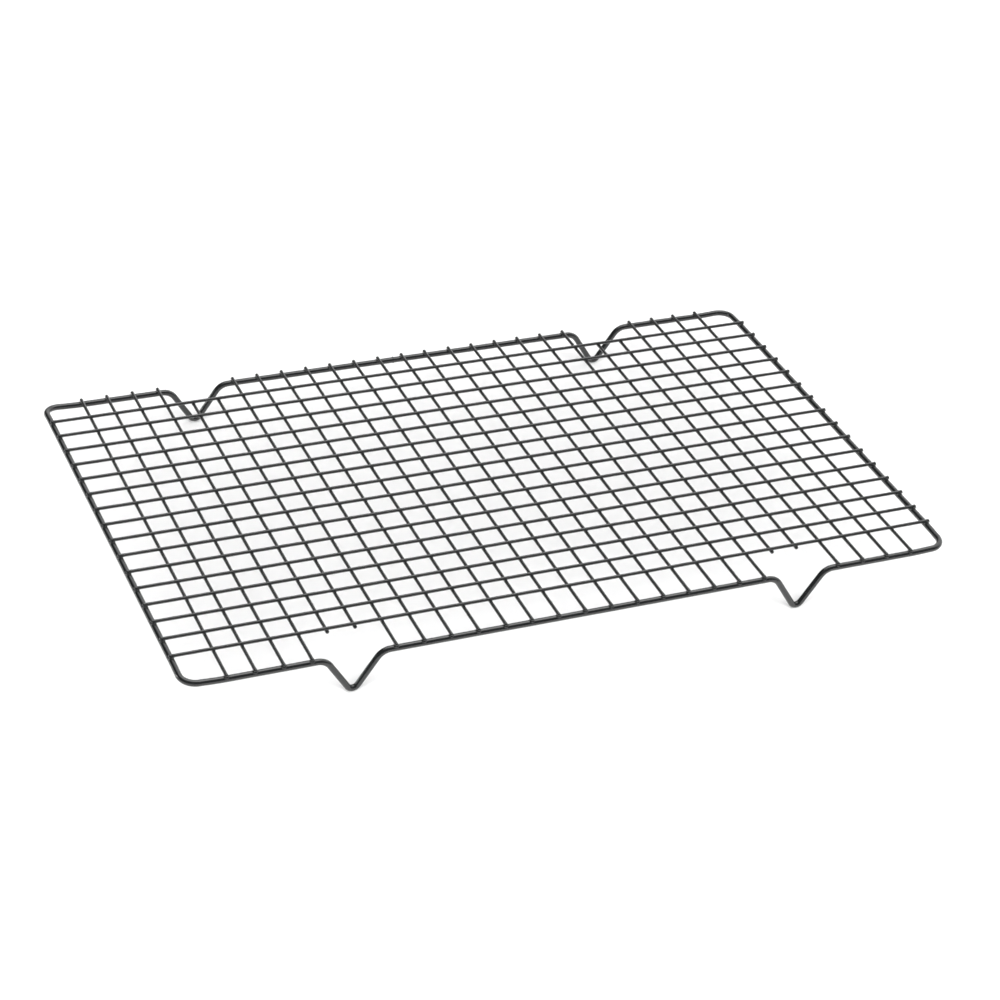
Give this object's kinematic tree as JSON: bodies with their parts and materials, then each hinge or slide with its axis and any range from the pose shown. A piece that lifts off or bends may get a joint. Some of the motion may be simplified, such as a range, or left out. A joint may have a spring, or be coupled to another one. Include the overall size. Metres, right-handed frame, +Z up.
{
  "type": "cooling rack",
  "caption": "Rectangular wire cooling rack: a welded square grid on a bent perimeter wire with V feet, for cooling baked goods.",
  "frame": {"origin": "on the surface the feet stand on, under the middle of the rack", "axes": "+X along the rack, +Y across it towards the back, +Z up"},
  "size_m": [0.4064, 0.2543, 0.0252],
  "materials": {
    "frame_coating": "dark charcoal non-stick coating, satin, on steel wire",
    "grid_coating": "dark charcoal non-stick coating, satin, on steel wire"
  },
  "bodies": {
    "root": {"frame_wire": "frame_coating", "cross_wire_01": "grid_coating", "cross_wire_02": "grid_coating", "cross_wire_03": "grid_coating", "cross_wire_04": "grid_coating", "cross_wire_05": "grid_coating", "cross_wire_06": "grid_coating", "cross_wire_07": "grid_coating", "cross_wire_08": "grid_coating", "cross_wire_09": "grid_coating", "cross_wire_10": "grid_coating", "cross_wire_11": "grid_coating", "cross_wire_12": "grid_coating", "cross_wire_13": "grid_coating", "cross_wire_14": "grid_coating", "cross_wire_15": "grid_coating", "cross_wire_16": "grid_coating", "cross_wire_17": "grid_coating", "cross_wire_18": "grid_coating", "cross_wire_19": "grid_coating", "cross_wire_20": "grid_coating", "cross_wire_21": "grid_coating", "cross_wire_22": "grid_coating", "cross_wire_23": "grid_coating", "cross_wire_24": "grid_coating", "cross_wire_25": "grid_coating", "cross_wire_26": "grid_coating", "cross_wire_27": "grid_coating", "long_wire_01": "grid_coating", "long_wire_02": "grid_coating", "long_wire_03": "grid_coating", "long_wire_04": "grid_coating", "long_wire_05": "grid_coating", "long_wire_06": "grid_coating", "long_wire_07": "grid_coating", "long_wire_08": "grid_coating", "long_wire_09": "grid_coating", "long_wire_10": "grid_coating", "long_wire_11": "grid_coating", "long_wire_12": "grid_coating", "long_wire_13": "grid_coating", "long_wire_14": "grid_coating", "long_wire_15": "grid_coating", "long_wire_16": "grid_coating"}
  },
  "joints": []
}
